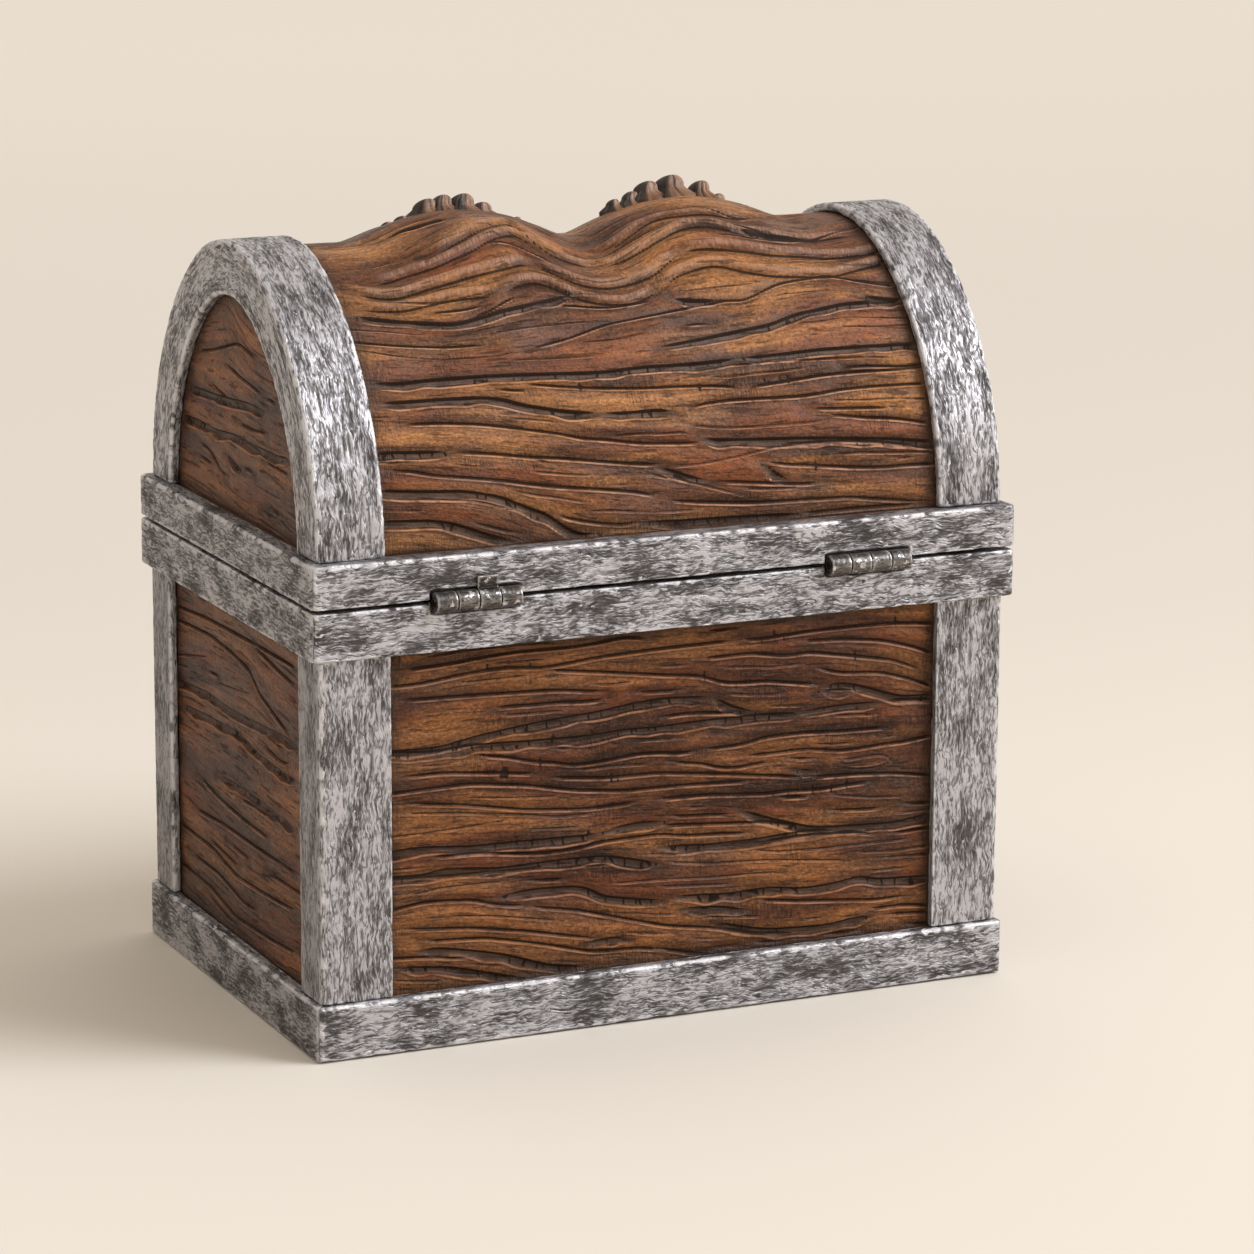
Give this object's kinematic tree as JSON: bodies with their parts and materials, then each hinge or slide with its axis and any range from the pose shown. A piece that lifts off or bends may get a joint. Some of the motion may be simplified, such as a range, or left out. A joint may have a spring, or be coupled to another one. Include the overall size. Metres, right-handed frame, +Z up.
{
  "type": "dice box",
  "caption": "Barrel-lidded chest for dice, with carved wood panels in metal bands, a felt lining and a lid that swings back on two small hinges.",
  "frame": {"origin": "middle of the felt face that the box rests on", "axes": "+Z up, +Y towards the back where the hinges are, +X along the width"},
  "size_m": [0.12, 0.0811, 0.1269],
  "materials": {
    "base_felt": "dark pressed felt",
    "lining_felt": "deep red felt",
    "magnets": "nickel plated",
    "hinge_pins": "worn steel",
    "leaf_screws": "aged steel",
    "hinge_leaves": "aged dark steel, worn bright on the knuckles",
    "arch_bands": "silver-grey dry-brushed over dark brown, hammered",
    "rim_bands": "silver-grey dry-brushed over dark brown, worn edges",
    "corner_posts": "silver-grey dry-brushed over dark brown, worn edges",
    "inner_wood": "stained, satin",
    "barrel_wood": "deeply carved flowing grain, red-brown stain with dark grooves, satin",
    "lid_end_wood": "deeply carved flowing grain, red-brown stain with dark grooves, satin",
    "panel_wood": "deeply carved flowing grain, red-brown stain with dark grooves, satin"
  },
  "bodies": {
    "box": {"base_felt": "base_felt", "base_band": "rim_bands", "floor_panel": "inner_wood", "front_panel": "panel_wood", "back_panel": "panel_wood", "left_panel": "panel_wood", "right_panel": "panel_wood", "front_left_post": "corner_posts", "front_right_post": "corner_posts", "back_left_post": "corner_posts", "back_right_post": "corner_posts", "body_rim_band": "rim_bands", "wall_lining": "lining_felt", "floor_lining": "lining_felt", "body_magnets": "magnets", "left_body_leaf": "hinge_leaves", "right_body_leaf": "hinge_leaves", "left_hinge_pin": "hinge_pins", "right_hinge_pin": "hinge_pins", "body_leaf_screws": "leaf_screws"},
    "lid": {"lid_rim_band": "rim_bands", "lid_sill": "inner_wood", "lid_barrel": "barrel_wood", "left_lid_end": "lid_end_wood", "right_lid_end": "lid_end_wood", "left_arch_band": "arch_bands", "right_arch_band": "arch_bands", "left_lid_leaf": "hinge_leaves", "right_lid_leaf": "hinge_leaves", "lid_leaf_screws": "leaf_screws", "lid_magnets": "magnets", "lid_lining": "lining_felt", "lid_end_linings": "lining_felt"}
  },
  "joints": [
    {"name": "lid_hinge", "type": "hinge", "parent": "box", "child": "lid", "pos_m": [0, 0.0399, 0.071], "axis": [-1, 0, 0], "range_deg": [0, 105]}
  ]
}
